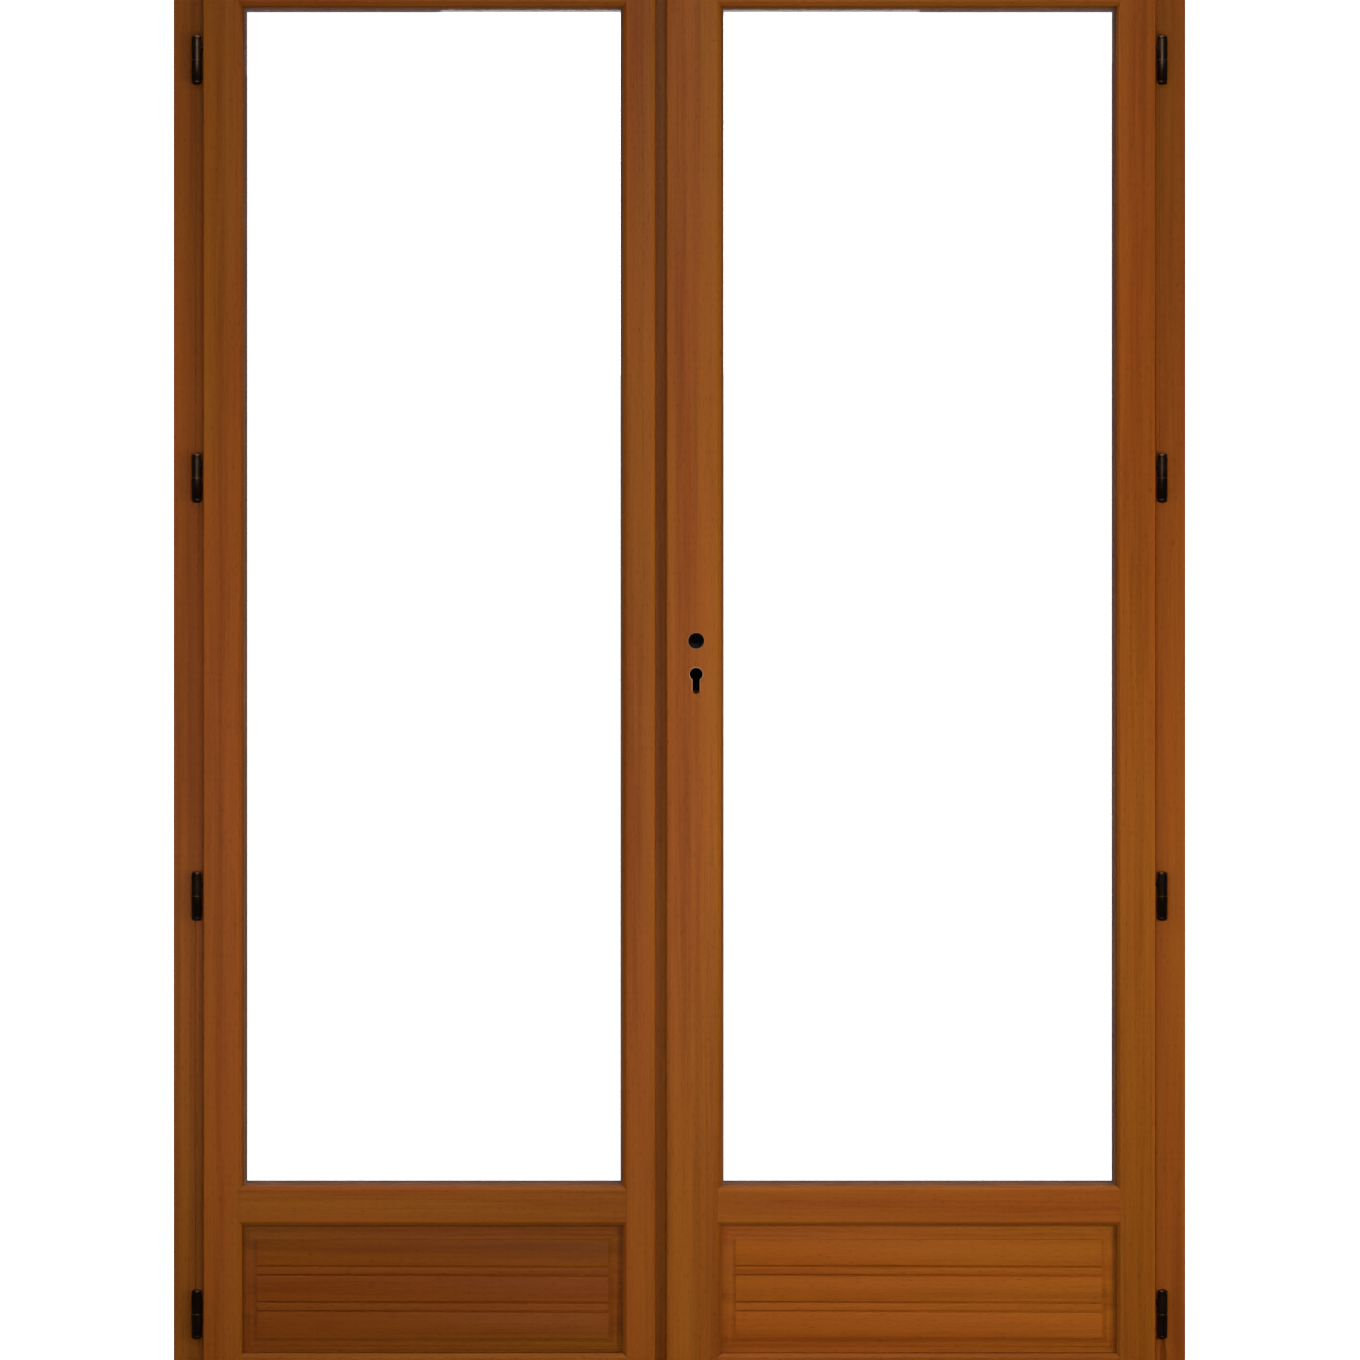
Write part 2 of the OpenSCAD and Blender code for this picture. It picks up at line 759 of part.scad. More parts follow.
// ---- hinges, drawn for the right side ----
// Barrel from the joint face (z = 0) to its domed end, with a groove round it below the cap
module barrel_profile() {
    r = barrel_r;
    cap_z = half_h - cap_h;
    polygon([[0, 0], [r - barrel_ease, 0], [r, barrel_ease], [r, cap_z - ring_lo],
        [r - ring_deep, cap_z - ring_lo + ring_slope], [r - ring_deep, cap_z - ring_hi - ring_slope],
        [r, cap_z - ring_hi], [r, cap_z], [r - cap_in, half_h - dome_h], [r - dome_in, half_h], [0, half_h]]);
}

module pin_spigot(i, grow) {
    z = hinge_z(i) - half_h / 2;
    translate([axis_x, axis_y, z]) rotate([-90, 0, 0]) cylinder(r = spigot_r + grow, h = pin_spigot_l + grow);
}

module leaf_spigot(i, grow) {
    z = hinge_z(i) + half_h / 2;
    translate([axis_x, axis_y, z]) rotate([0, -90, 0])
        cylinder(r = spigot_r + grow, h = leaf_spigot_l + grow);
}

module hinge_pin_half(s, i) {
    color(bronze) scale([s, 1, 1]) union() {
        translate([axis_x, axis_y, hinge_z(i)]) mirror([0, 0, 1]) rotate_extrude() barrel_profile();
        translate([axis_x, axis_y, hinge_z(i) - pin_root]) cylinder(r = pin_r, h = half_h - pin_end);
        pin_spigot(i, 0);
    }
}

module hinge_leaf_half(s, i) {
    color(bronze) scale([s, 1, 1]) difference() {
        union() {
            translate([axis_x, axis_y, hinge_z(i) + slide_gap]) rotate_extrude() barrel_profile();
            leaf_spigot(i, 0);
        }
        translate([axis_x, axis_y, hinge_z(i)]) cylinder(r = pin_r + pin_fit, h = half_h - pin_end);
    }
}

// ---- meeting seal and hardware of the left leaf ----
module meeting_seal() {
    color(rubber) translate([pas_edge, 0, 0]) mirror([1, 0, 0])
        up_z(leaf_bottom, body_top) seal_section(seal_u, frame_y0, lip_gap - slide_gap);
}

module strike_block(grow) {
    block(pas_edge - plate_t - grow, pas_edge + (grow > 0 ? 1 : 0), -plate_w / 2 - grow, plate_w / 2 + grow,
        cylinder_z - strike_half - grow, cylinder_z + strike_half + grow);
}

module strike_plate() {
    color(steel) difference() {
        strike_block(0);
        block(pas_edge - plate_t - 1, pas_edge + 1, -bolt_t / 2 - slide_gap, bolt_t / 2 + slide_gap,
            cylinder_z - bolt_h / 2 - slide_gap, cylinder_z + bolt_h / 2 + slide_gap);
    }
}

// Plate over a flush bolt at the top or bottom of the left leaf's edge
module flush_plate_block(top, grow) {
    z0 = top ? body_top - flush_l - flush_plate_over : leaf_bottom;
    z1 = top ? body_top : leaf_bottom + flush_l + flush_plate_over;
    block(pas_edge - plate_t - grow, pas_edge + (grow > 0 ? 1 : 0), -plate_w / 2 - grow, plate_w / 2 + grow,
        z0 - grow, z1 + grow);
}

module flush_slot(top) {
    z0 = top ? body_top - flush_l - flush_slot_over : leaf_bottom - 1;
    z1 = top ? body_top + 1 : leaf_bottom + flush_l + flush_slot_over;
    block(flush_x - rod_slot / 2, pas_edge, -rod_slot / 2, rod_slot / 2, z0, z1);
}

module flush_bolt_plates() {
    color(steel) for (top = [true, false]) difference() {
        flush_plate_block(top, 0);
        thumb_block(top, slide_gap, throw);
    }
}

// The bolt's thumb piece, grown sideways and lengthened for its slot
module thumb_block(top, grow, travel) {
    z = top ? body_top - flush_l + thumb_at : leaf_bottom + flush_l - thumb_at;
    up = top ? travel : 0;
    down = top ? 0 : travel;
    block(flush_x, pas_edge + thumb_out, -thumb_half_t - grow, thumb_half_t + grow,
        z - thumb_half_h - grow - down, z + thumb_half_h + grow + up);
}

module flush_bolt(top) {
    z0 = top ? body_top - rod_inset - flush_l : leaf_bottom + rod_inset;
    color(steel) union() {
        translate([flush_x, 0, z0]) cylinder(r = rod_r, h = flush_l);
        thumb_block(top, 0, 0);
    }
}

// ---- lock of the right leaf ----
module faceplate_block(grow) {
    block(act_edge - (grow > 0 ? 1 : 0), case_x + grow, -plate_w / 2 - grow, plate_w / 2 + grow,
        leaf_bottom + faceplate_end - grow, body_top - faceplate_end + grow);
}

module bolt_window(x0, x1) {
    block(x0, x1, -bolt_t / 2 - slide_gap, bolt_t / 2 + slide_gap, cylinder_z - bolt_h / 2 - slide_gap,
        cylinder_z + bolt_h / 2 + slide_gap);
}

module lock_faceplate() {
    color(steel) difference() {
        faceplate_block(0);
        bolt_window(act_edge - 1, case_x + 1);
    }
}

// A tray that the faceplate closes, notched above and below for the rods
module lock_case() {
    w = case_wall;
    color([0.16, 0.15, 0.14]) difference() {
        block(case_x, case_x + case_w, -case_t / 2, case_t / 2, case_lo, case_hi);
        block(case_x - 1, case_x + case_w - w, -case_t / 2 + w, case_t / 2 - w, case_lo + w, case_hi - w);
        block(case_x - 1, case_x + rod_slot, -rod_slot / 2, rod_slot / 2, case_lo - 1, case_hi + 1);
        translate([spindle_x, -case_t, spindle_z]) rotate([-90, 0, 0])
            cylinder(r = boss_r + slide_gap, h = 2 * case_t);
        translate([spindle_x, -case_t, cylinder_z]) cylinder_profile(2 * case_t, -slide_gap);
    }
}

// Pinion with straight-flanked teeth between two bosses, with a square spindle hole
module handle_hub() {
    root = pitch_r - root_drop;
    tip = pitch_r + addendum;
    color([0.14, 0.13, 0.12]) translate([spindle_x, 0, spindle_z]) difference() {
        rotate([90, 0, 0]) union() {
            translate([0, 0, -case_t / 2]) cylinder(r = boss_r, h = case_t);
            linear_extrude(rack_y, center = true) circle(root);
            for (k = [0 : TEETH - 1]) rotate([0, 0, (k + 0.5) * 360 / TEETH])
                linear_extrude(rack_y, center = true) polygon([[root - tooth_sink, -tooth_w / 2 - hub_flank],
                    [tip, -tip_w / 2], [tip, tip_w / 2], [root - tooth_sink, tooth_w / 2 + hub_flank]]);
        }
        block(-spindle_sq / 2, spindle_sq / 2, -case_t, case_t, -spindle_sq / 2, spindle_sq / 2);
    }
}

module dead_bolt() {
    color(steel) block(act_edge, act_edge + bolt_l, -bolt_t / 2, bolt_t / 2, cylinder_z - bolt_h / 2,
        cylinder_z + bolt_h / 2);
}

// Rack beside the pinion; s = -1 at its left, 1 at its right
module rack(s, z0, z1) {
    n = RACK_TEETH;
    tip = rack_flank - 2 * addendum;
    translate([spindle_x, 0, 0]) scale([s, 1, 1]) union() {
        block(rack_line, rack_line + rack_t, -rack_y / 2, rack_y / 2, z0, z1);
        for (k = [-n : n]) translate([rack_line, rack_y / 2, spindle_z + k * tooth_pitch]) rotate([90, 0, 0])
            linear_extrude(rack_y) polygon([[tooth_sink, -tooth_w / 2 - rack_flank], [tip, -tip_w / 2],
                [tip, tip_w / 2], [tooth_sink, tooth_w / 2 + rack_flank]]);
    }
}

module top_shoot_rod() {
    z = spindle_z + arm_z;
    color(steel) union() {
        translate([rod_x, 0, z]) cylinder(r = rod_r, h = body_top - rod_inset - z);
        rack(LEFT, spindle_z - rack_half, z + arm_h);
        block(rod_x, spindle_x - rack_line, -rack_y / 2, rack_y / 2, z, z + arm_h);
    }
}

module bottom_shoot_rod() {
    z = case_lo + case_wall + throw + arm_gap;
    color(steel) union() {
        translate([rod_x, 0, leaf_bottom + rod_inset])
            cylinder(r = rod_r, h = z + arm_h - leaf_bottom - rod_inset);
        rack(RIGHT, z, spindle_z + rack_half);
        block(rod_x, spindle_x + rack_line + rack_t, -rack_y / 2, rack_y / 2, z, z + arm_h);
    }
}

jamb(LEFT);  // left_jamb
jamb(RIGHT);  // right_jamb
head();
threshold();
jamb_seal(LEFT);  // left_jamb_seal
jamb_seal(RIGHT);  // right_jamb_seal
head_seal();
threshold_seal();
keep(head_rebate_z, head_rebate_z + plate_t);  // head_keep
keep(tread_h - plate_t, tread_h);  // threshold_keep
hinge_pin_half(LEFT, 1);  // left_hinge_1_pin_half
hinge_pin_half(LEFT, 2);  // left_hinge_2_pin_half
hinge_pin_half(LEFT, 3);  // left_hinge_3_pin_half
hinge_pin_half(LEFT, 4);  // left_hinge_4_pin_half
hinge_pin_half(RIGHT, 1);  // right_hinge_1_pin_half
hinge_pin_half(RIGHT, 2);  // right_hinge_2_pin_half
hinge_pin_half(RIGHT, 3);  // right_hinge_3_pin_half
hinge_pin_half(RIGHT, 4);  // right_hinge_4_pin_half
hinge_stile(LEFT);  // left_hinge_stile
left_meeting_stile();
rail(LEFT, 0);  // left_bottom_rail
rail(LEFT, 1);  // left_mid_rail
rail(LEFT, 2);  // left_top_rail
panel(LEFT);  // left_panel
pane(LEFT, glass_y0);  // left_inner_pane
pane(LEFT, glass_y0 + pane_t + pane_space);  // left_outer_pane
pane_spacer(LEFT);  // left_pane_spacer
beads(LEFT);  // left_beads
weatherboard(LEFT);  // left_weatherboard
hinge_leaf_half(LEFT, 1);  // left_hinge_1_leaf_half
hinge_leaf_half(LEFT, 2);  // left_hinge_2_leaf_half
hinge_leaf_half(LEFT, 3);  // left_hinge_3_leaf_half
hinge_leaf_half(LEFT, 4);  // left_hinge_4_leaf_half
meeting_seal();
strike_plate();
flush_bolt_plates();
flush_bolt(true);  // top_flush_bolt
flush_bolt(false);  // bottom_flush_bolt
hinge_stile(RIGHT);  // right_hinge_stile
right_meeting_stile();
rail(RIGHT, 0);  // right_bottom_rail
rail(RIGHT, 1);  // right_mid_rail
rail(RIGHT, 2);  // right_top_rail
panel(RIGHT);  // right_panel
pane(RIGHT, glass_y0);  // right_inner_pane
pane(RIGHT, glass_y0 + pane_t + pane_space);  // right_outer_pane
pane_spacer(RIGHT);  // right_pane_spacer
beads(RIGHT);  // right_beads
weatherboard(RIGHT);  // right_weatherboard
hinge_leaf_half(RIGHT, 1);  // right_hinge_1_leaf_half
hinge_leaf_half(RIGHT, 2);  // right_hinge_2_leaf_half
hinge_leaf_half(RIGHT, 3);  // right_hinge_3_leaf_half
hinge_leaf_half(RIGHT, 4);  // right_hinge_4_leaf_half
lock_case();
lock_faceplate();
handle_hub();
dead_bolt();
top_shoot_rod();
bottom_shoot_rod();
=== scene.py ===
import json
import math

import bmesh
import bpy
import numpy as np
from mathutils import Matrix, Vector


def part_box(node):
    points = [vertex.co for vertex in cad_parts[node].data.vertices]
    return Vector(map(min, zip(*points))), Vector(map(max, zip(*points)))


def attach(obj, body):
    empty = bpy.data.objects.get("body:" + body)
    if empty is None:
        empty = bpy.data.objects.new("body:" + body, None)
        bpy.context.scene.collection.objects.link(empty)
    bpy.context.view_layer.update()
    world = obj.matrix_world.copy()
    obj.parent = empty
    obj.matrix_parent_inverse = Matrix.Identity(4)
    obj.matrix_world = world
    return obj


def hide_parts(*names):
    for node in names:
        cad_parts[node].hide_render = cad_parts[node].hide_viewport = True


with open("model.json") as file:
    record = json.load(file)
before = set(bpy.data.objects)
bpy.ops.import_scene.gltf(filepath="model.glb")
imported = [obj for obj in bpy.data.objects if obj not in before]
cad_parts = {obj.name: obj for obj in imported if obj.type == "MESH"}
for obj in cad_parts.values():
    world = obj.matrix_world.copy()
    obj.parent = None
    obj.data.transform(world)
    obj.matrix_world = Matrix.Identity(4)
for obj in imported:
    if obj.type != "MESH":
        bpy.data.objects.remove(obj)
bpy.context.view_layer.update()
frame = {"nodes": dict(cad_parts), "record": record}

MM = 0.001

# ---- camera, floor and light ----
CAMERA_X = 0.0007
CAMERA_Z = 1.122
CAMERA_DISTANCE = 6.0
FACE_Y = -0.034  # the leaves' face on the room side
SEEN_WIDTH = 1.8768
SENSOR = 36.0
FLOOR_HALF = 14.0
FLOOR_STEPS = 40
FLOOR_GLOW = 1.25
FLOOR_PAINT = ((0.3, 0.3, 0.295, 1), (0.34, 0.34, 0.335, 1))
FLOOR_LIGHT = ((0.97, 0.97, 0.965, 1), (1, 1, 1, 1))
SKY_WHITE = 1.35  # strength of the sky for the camera
SKY_TOP = 0.2  # for the light that it gives, at the top
SKY_LOW = 0.14  # and at the horizon
SKY_GLOSS = 0.06  # for reflections
WARM = (1, 0.98, 0.95)
MILD = (1, 0.98, 0.96)
COOL = (0.95, 0.97, 1)
WHITE = (1, 1, 1)
# Each lamp's name, place, the point it faces, width, height, power, beam in degrees, colour
LAMPS = (
    ("right_light", (1.7, -1.95, 0.88), (0.35, 0, 0.96), 1.0, 1.0, 12.9, 120, WARM),
    ("left_light", (-1.25, -1.6, 0.86), (-0.45, 0, 0.96), 0.9, 0.9, 3.5, 100, WARM),
    ("front_light", (0.05, -2.4, 0.84), (0, 0, 0.9), 1.0, 1.0, 5.2, 90, WHITE),
    ("window_light", (0.2, -2.0, 2.5), (0, 0, 2.1), 2.4, 0.5, 4, 180, COOL),
    ("top_light", (0, -0.3, 3.9), (0, -0.1, 0.6), 2.6, 0.5, 34, 180, MILD),
    ("back_light", (0, 3.2, 3.2), (0, 0.4, 0.9), 3.0, 2.0, 100, 180, WHITE),
    ("sheen_light", (0.0, -2.2, 2.15), (0, 0, 1.9), 0.9, 0.9, 12, 180, MILD),
)
WITHOUT_GLOSS = ("right_light", "left_light", "front_light")
GLOSS_ONLY = ("sheen_light",)

# ---- finishes, as screen colours from 0 to 255 ----
WOOD_DARK = (118, 56, 9)
WOOD_LIGHT = (160, 88, 24)
WOOD_RED = (150, 68, 17)
WOOD_OLIVE = (142, 84, 12)
WOOD_PORE = (70, 30, 8)
WOOD_RAW = (176, 132, 96)
# painted shade: the near-black colour painted inside the stile's two holes, for the shadow in them
HOLE_PAINTED_SHADE = (6, 4, 3)
SOFT_GLOSS = 0.3

# ---- glass: clean and under its faint film, as linear light ----
GLASS_CLEAR = (0.88, 0.96, 0.94, 1)
GLASS_FILM = (0.8, 0.88, 0.87, 1)

# ---- timber: lumps a metre across and along the grain ----
BEND = (5, 0.9)
BANDS = (46, 0.8)
STREAKS = (330, 6)
FIBRES = (1300, 26)
PORES = (2300, 95)
HUE = (13, 1.1)
STAIN = (3.5, 1.4)
BAND_SHARE, STREAK_SHARE, FIBRE_SHARE = 0.42, 0.62, 0.26
CAST_SHARE, CAST_IN_LIGHT = 0.25, 0.2
PORE_SHARE = 0.55
STAIN_SWING = 0.22
LACQUER_ROUGH = 0.34
TIMBER_SHEEN = 0.06
PANEL_SHEEN = 0.05

# ---- handle hole and key hole in the right meeting stile ----
LOCK_X = 0.023
HANDLE_Z = 1.176
HANDLE_R = 11 * MM
KEY_Z = 1.13
KEY_R = 8.9 * MM
KEY_FOOT_Z = 1.1075
KEY_FOOT_HALF = 5 * MM
HOLE_END_Y = 0.009  # where both stop, inside the stile
RIM_TORN = 1.2 * MM
KEY_RIM = (1.15 * MM, 0.75 * MM)  # bare wood round a hole ends and is full this far out
HANDLE_RIM = (0.75 * MM, 0.45 * MM)
HANDLE_RIM_SHARE = 0.6
RIM_DEPTH = (5 * MM, 3 * MM)
FIGURE = (0.024, 9 * MM, 0.12)  # the stile's dark stripe: its middle, half width and depth

# ---- sizes ----
HINGES = 4
JOIN_GAP = 0.005 * MM
THIN = 0.002 * MM
WELD_GAP = 0.001 * MM
FLAT_ANGLE = math.radians(0.3)
SHARP_ANGLE = math.radians(35)
# How far the timbers' sharp edges are eased, and the shortest edge that is
EASE = (0.7 * MM, 0.0)
EASING = {
    "_panel": (0.3 * MM, 4 * MM),
    "_jamb": (0.7 * MM, 2 * MM),
    "_hinge_stile": (0.45 * MM, 1 * MM),
    "_meeting_stile": (0.45 * MM, 0.0),
}
SEAL_W = 3.6 * MM
SEAL_H = 3.4 * MM
SEAL_HOLLOW = 0.9
WASHER_R = 6.9 * MM
WASHER_T = 1.6 * MM
SCREW_R = 3.4 * MM
SCREW_RISE = 0.4 * MM
SCREW_SUNK = 1.6 * MM
SLOT_HALF = 0.5 * MM
SLOT_SIDE = 0.25 * MM
SLOT_DEEP = 1.1 * MM
LOCK_SCREW_IN = 13 * MM
FACEPLATE_BAYS = 5
FLUSH_PLATE_L = 210 * MM
FLUSH_SCREW_FAR = 24 * MM
FLUSH_SCREW_NEAR = 8 * MM
KEEP_SCREW_IN = 6 * MM


def linear(colour):
    """A screen colour from 0 to 255 as linear light: the sRGB curve, undone."""
    share = np.array(colour, float) / 255
    light = np.where(share <= 0.04045, share / 12.92, ((share + 0.055) / 1.055) ** 2.4)
    return (*(float(v) for v in light), 1.0)


class Value:
    """A shader socket that arithmetic works on: each operator adds one Math node."""

    def __init__(self, socket):
        self.socket = socket

    def node(self, kind, inputs, output=0, **settings):
        """Adds a node: its settings first, then the values or links of its inputs."""
        tree = self.socket.id_data
        made = tree.nodes.new("ShaderNode" + kind)
        for key, value in settings.items():
            setattr(made, key, value)
        for key, value in inputs.items():
            if isinstance(value, Value):
                tree.links.new(value.socket, made.inputs[key])
            else:
                made.inputs[key].default_value = value
        return Value(made.outputs[output])

    def math(self, operation, a, b):
        return self.node("Math", {0: a, 1: b}, operation=operation)

    def __add__(self, other):
        return self.math("ADD", self, other)

    __radd__ = __add__

    def __sub__(self, other):
        return self.math("SUBTRACT", self, other)

    def __rsub__(self, other):
        return self.math("SUBTRACT", other, self)

    def __mul__(self, other):
        return self.math("MULTIPLY", self, other)

    __rmul__ = __mul__

    def __truediv__(self, other):
        return self.math("DIVIDE", self, other)

    def __pow__(self, other):
        return self.math("POWER", self, other)

    def __abs__(self):
        return self.math("ABSOLUTE", self, 0.0)

    def least(self, other):
        return self.math("MINIMUM", self, other)

    def most(self, other):
        return self.math("MAXIMUM", self, other)

    def step(self, low, high):
        """0 below low, 1 above high and smooth between; low may be the greater one."""
        return self.node(
            "MapRange",
            {"Value": self, "From Min": low, "From Max": high},
            interpolation_type="SMOOTHSTEP",
        )

    def noise(self, across, along, grain="Z", seed=0.0, detail=2.0):
        """Noise of this point, drawn out along the grain: across and along are lumps a metre."""
        scale = (along, across, across) if grain == "X" else (across, across, along)
        drawn = self.node("VectorMath", {0: self, 1: scale}, operation="MULTIPLY")
        return drawn.node(
            "TexNoise",
            {"Vector": drawn, "W": seed, "Scale": 1.0, "Detail": detail, "Roughness": 0.55},
            noise_dimensions="4D",
        )

    def part(self, axis):
        """One component of this vector: 0, 1 or 2 for X, Y or Z."""
        return self.node("SeparateXYZ", {0: self}, output=axis)

    def mix(self, a, b):
        """Colour a where this value is 0 and colour b where it is 1."""
        return self.node("Mix", {0: self, 6: a, 7: b}, output=2, data_type="RGBA")


def start_material(name, **uniform):
    """A node material with its Principled shader, and the point in Object coordinates."""
    mat = bpy.data.materials.new(name)
    mat.use_nodes = True
    shader = mat.node_tree.nodes["Principled BSDF"]
    for key, value in uniform.items():
        shader.inputs[key.replace("_", " ")].default_value = value
    coords = mat.node_tree.nodes.new("ShaderNodeTexCoord")
    return mat, shader, Value(coords.outputs["Object"])


def feed(shader, **values):
    """Links values to the shader's sockets, whose spaces are written as underscores."""
    for key, value in values.items():
        shader.id_data.links.new(value.socket, shader.inputs[key.replace("_", " ")])


def bump(height, distance, strength):
    """The surface's direction where a height, times a distance, is added to it."""
    return height.node("Bump", {"Height": height, "Distance": distance, "Strength": strength})


def key_hole_gap(point):
    """Distance from the outline of the key hole, below 0 inside it: the smaller of the
    distance from the round part and the distance from the straight foot below it."""
    px = point.part(0) - LOCK_X
    pz = point.part(2)
    up = pz - KEY_Z
    ring = (px * px + up * up) ** 0.5 - KEY_R
    side = abs(px) - KEY_FOOT_HALF
    below = abs(pz - (KEY_FOOT_Z + KEY_Z) / 2) - (KEY_Z - KEY_FOOT_Z) / 2
    return ring.least(side.most(below))


def bored(point, colour, streaks):
    """A stile's colour with its two holes: bare torn wood round their rims, on the face only,
    and painted shade inside, a near-black colour for the shadow in them, down to where the holes
    stop."""
    key = key_hole_gap(point)
    px = point.part(0) - LOCK_X
    pz = point.part(2) - HANDLE_Z
    handle = (px * px + pz * pz) ** 0.5 - HANDLE_R
    ragged = (streaks - 0.5) * RIM_TORN
    key_rim = (key + ragged).step(*KEY_RIM)
    handle_rim = (handle + ragged).step(*HANDLE_RIM) * HANDLE_RIM_SHARE
    depth = point.part(1) - FACE_Y
    near_face = depth.step(*RIM_DEPTH)
    colour = (key_rim.most(handle_rim) * near_face).mix(colour, linear(WOOD_RAW))
    # painted shade: inside the holes the colour is made near-black, for the shadow that falls in
    # them
    inside = key.least(handle).step(0.3 * MM, 0.1 * MM)
    before_end = point.part(1).step(HOLE_END_Y + 2 * MM, HOLE_END_Y + 1 * MM)
    painted_shade_depth = depth.step(0.4 * MM, 1.6 * MM) * before_end
    return (inside * painted_shade_depth).mix(colour, linear(HOLE_PAINTED_SHADE))


def mitred_grain(point, x0, x1, rings):
    """Swaps X and Z where a ring of beads between x0 and x1 runs across: there a point is
    nearer to the ring's top or bottom than to its sides, so the change lies on the mitres.
    rings holds each ring's lowest and highest z."""
    px, pz = point.part(0), point.part(2)
    to_side = (x1 - x0) / 2 - abs(px - (x0 + x1) / 2)
    upper, lower = [(z1 - z0) / 2 - abs(pz - (z0 + z1) / 2) for z0, z1 in rings]
    across = px.math("LESS_THAN", upper.most(lower), to_side)
    swapped = point.node("CombineXYZ", {0: pz, 1: point.part(1), 2: px})
    return across.node("Mix", {0: across, 4: point, 5: swapped}, output=1, data_type="VECTOR")


def timber(name, grain, tone_and_shade, seed, sheen, figure=None, holes=False, beads=None):
    """Stained and lacquered hardwood. Broad growth bands, streaks, fibres and pores are the
    same noise at four scales, each drawn out along the grain; a slow noise shifts the hue
    between red and olive, and another the depth of the stain."""
    mat, shader, point = start_material(
        name, Specular_IOR_Level=sheen, Coat_Weight=0.2 * sheen, Coat_Roughness=0.25
    )
    if beads:
        point = mitred_grain(point, *beads)
    bend = point.noise(*BEND, grain, seed + 9, 1.0)
    bands = (point.noise(*BANDS, grain, seed, 2.5) + bend * 0.35).step(0.42, 0.92)
    streaks = point.noise(*STREAKS, grain, seed + 1, 3.0)
    fibres = point.noise(*FIBRES, grain, seed + 2, 2.0)
    pores = point.noise(*PORES, grain, seed + 3, 0.0).step(0.66, 0.74)
    hue = point.noise(*HUE, grain, seed + 4, 2.0).step(0.35, 0.65)
    stain = point.noise(*STAIN, grain, seed + 5, 2.0)
    depth = bands * BAND_SHARE + streaks * STREAK_SHARE + fibres * FIBRE_SHARE
    depth = depth.step(0.28, 1.0)
    cast = hue.mix(linear(WOOD_OLIVE), linear(WOOD_RED))
    body = depth.mix(linear(WOOD_DARK), linear(WOOD_LIGHT))
    colour = (CAST_SHARE + depth * CAST_IN_LIGHT).mix(body, cast)
    colour = (pores * PORE_SHARE).mix(colour, linear(WOOD_PORE))
    # the member's tone, which on the left leaf also holds painted shade, sets how light or dark it
    # is
    light = (stain - 0.5) * STAIN_SWING + tone_and_shade
    if figure:
        middle, half_width, drop = figure
        away = abs(point.part(0) - middle + (bend - 0.5) * 0.016)
        light = light - away.step(half_width, 0.0) * drop
    colour = colour.node("VectorMath", {0: colour, 3: light}, operation="SCALE")
    rough = LACQUER_ROUGH + (1 - streaks) * 0.12 + pores * 0.2
    height = streaks * 0.35 + fibres * 0.4 - pores * 0.7
    # the right meeting stile gets bare rims round its holes and painted shade inside them
    if holes:
        colour = bored(point, colour, streaks)
    feed(shader, Base_Color=colour, Roughness=rough, Normal=bump(height, 0.12 * MM, 0.5))
    return mat


def metal(name, base, worn, rough, grain="Z", across=700, along=14, metallic=1.0):
    """Brushed or plated metal: fine scratches drawn out one way, with slow dull patches."""
    mat, shader, point = start_material(name, Metallic=metallic)
    brush = point.noise(across, along, grain, 1.0, 3.0)
    dull = point.noise(38, 38, grain, 2.0, 3.0)
    colour = (dull * 0.55 + brush * 0.45).step(0.3, 0.75).mix(linear(worn), linear(base))
    feed(
        shader,
        Base_Color=colour,
        Roughness=rough + (dull - 0.5) * 0.22 + brush * 0.08,
        Normal=bump(brush, 0.03 * MM, 0.4),
    )
    return mat


def soft(name, base, dusty, rough, lumps=420):
    """Rubber or sealant: a dull skin with dust in slow patches and a fine uneven surface."""
    mat, shader, point = start_material(name, Specular_IOR_Level=SOFT_GLOSS)
    skin = point.noise(lumps, lumps, "Z", 3.0, 3.0)
    dust = point.noise(24, 9, "Z", 4.0, 3.0).step(0.4, 0.75)
    colour = (dust * 0.6 + skin * 0.4).mix(linear(base), linear(dusty))
    feed(
        shader,
        Base_Color=colour,
        Roughness=rough + dust * 0.15,
        Normal=bump(skin, 0.08 * MM, 0.5),
    )
    return mat


def glass_material():
    """Clear glass: see-through, with a reflection that grows towards a glancing angle
    and a very faint film on it."""
    mat, shader, point = start_material("clear_glass", Roughness=0.03, Specular_IOR_Level=0.5)
    film = point.noise(9, 5, "Z", 5.0, 4.0)
    feed(
        shader,
        Base_Color=film.mix(GLASS_CLEAR, GLASS_FILM),
        Roughness=0.02 + film * 0.03,
        Alpha=0.012 + film.step(0.45, 0.8) * 0.012,
    )
    body = Value(shader.outputs[0])
    gloss = body.node("BsdfGlossy", {"Roughness": 0.015, "Color": (1, 1, 1, 1)})
    slant = body.node("LayerWeight", {"Blend": 0.5}, output="Facing")
    share = 0.035 + slant**5 * 0.6
    both = body.node("MixShader", {0: share, 1: body, 2: gloss})
    output = mat.node_tree.nodes["Material Output"]
    mat.node_tree.links.new(both.socket, output.inputs["Surface"])
    return mat


def as_mesh(name, points, faces, material):
    """A mesh object at the origin from arrays of points and faces."""
    mesh = bpy.data.meshes.new(name)
    mesh.from_pydata(np.asarray(points).tolist(), [], np.asarray(faces).tolist())
    mesh.materials.append(material)
    mesh.validate()
    made = bpy.data.objects.new(name, mesh)
    bpy.context.scene.collection.objects.link(made)
    return made


